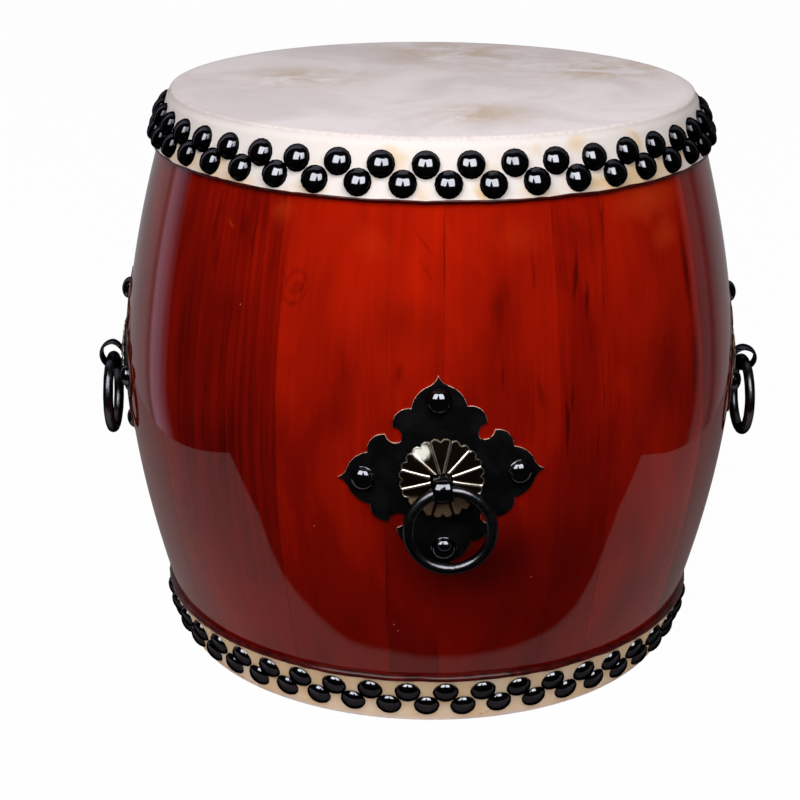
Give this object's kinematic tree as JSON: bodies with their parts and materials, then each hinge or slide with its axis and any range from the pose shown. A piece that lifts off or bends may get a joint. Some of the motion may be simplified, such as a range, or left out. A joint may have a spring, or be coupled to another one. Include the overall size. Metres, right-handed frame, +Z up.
{
  "type": "stave barrel drum",
  "caption": "Upright barrel drum of lacquered staves with a hide nailed over each end by domed tacks and swinging ring handles on lobed plates.",
  "frame": {"origin": "centre of the lower head's flat outer face, on which the drum stands", "axes": "+Z up along the barrel's axis; -Y is the front, through one ring handle; +X is to the right as seen from the front"},
  "size_m": [0.5262, 0.5261, 0.44],
  "materials": {
    "red_lacquer": "clear gloss lacquer over red-stained wood",
    "cowhide": "matt scraped rawhide",
    "black_iron": "glossy black enamel on iron",
    "gilt_brass": "bright pale gilt"
  },
  "bodies": {
    "root": {"stave_01": "red_lacquer", "stave_02": "red_lacquer", "stave_03": "red_lacquer", "stave_04": "red_lacquer", "stave_05": "red_lacquer", "stave_06": "red_lacquer", "stave_07": "red_lacquer", "stave_08": "red_lacquer", "stave_09": "red_lacquer", "stave_10": "red_lacquer", "stave_11": "red_lacquer", "stave_12": "red_lacquer", "stave_13": "red_lacquer", "stave_14": "red_lacquer", "stave_15": "red_lacquer", "stave_16": "red_lacquer", "head_top": "cowhide", "head_bottom": "cowhide", "tacks_top": "black_iron", "tacks_bottom": "black_iron", "plate_front": "black_iron", "eye_front": "black_iron", "washer_front": "black_iron", "stud_front_right": "black_iron", "stud_front_top": "black_iron", "stud_front_left": "black_iron", "stud_front_bottom": "black_iron", "rosette_front": "gilt_brass", "plate_right": "black_iron", "eye_right": "black_iron", "washer_right": "black_iron", "stud_right_right": "black_iron", "stud_right_top": "black_iron", "stud_right_left": "black_iron", "stud_right_bottom": "black_iron", "rosette_right": "gilt_brass", "plate_back": "black_iron", "eye_back": "black_iron", "washer_back": "black_iron", "stud_back_right": "black_iron", "stud_back_top": "black_iron", "stud_back_left": "black_iron", "stud_back_bottom": "black_iron", "rosette_back": "gilt_brass", "plate_left": "black_iron", "eye_left": "black_iron", "washer_left": "black_iron", "stud_left_right": "black_iron", "stud_left_top": "black_iron", "stud_left_left": "black_iron", "stud_left_bottom": "black_iron", "rosette_left": "gilt_brass"},
    "handle_front": {"ring_front": "black_iron"},
    "handle_right": {"ring_right": "black_iron"},
    "handle_back": {"ring_back": "black_iron"},
    "handle_left": {"ring_left": "black_iron"}
  },
  "joints": [
    {"name": "front_ring_swing", "type": "hinge", "parent": "root", "child": "handle_front", "pos_m": [0.00024, -0.25305, 0.20822], "axis": [-0.9925, 0, -0.1219], "range_deg": [-4, 175]},
    {"name": "right_ring_swing", "type": "hinge", "parent": "root", "child": "handle_right", "pos_m": [0.2532, 0, 0.2156], "axis": [0, -1, 0], "range_deg": [-4, 175]},
    {"name": "back_ring_swing", "type": "hinge", "parent": "root", "child": "handle_back", "pos_m": [0, 0.2532, 0.2156], "axis": [1, 0, 0], "range_deg": [-4, 175]},
    {"name": "left_ring_swing", "type": "hinge", "parent": "root", "child": "handle_left", "pos_m": [-0.25317, 0, 0.2184], "axis": [0, 1, 0], "range_deg": [-4, 175]}
  ]
}
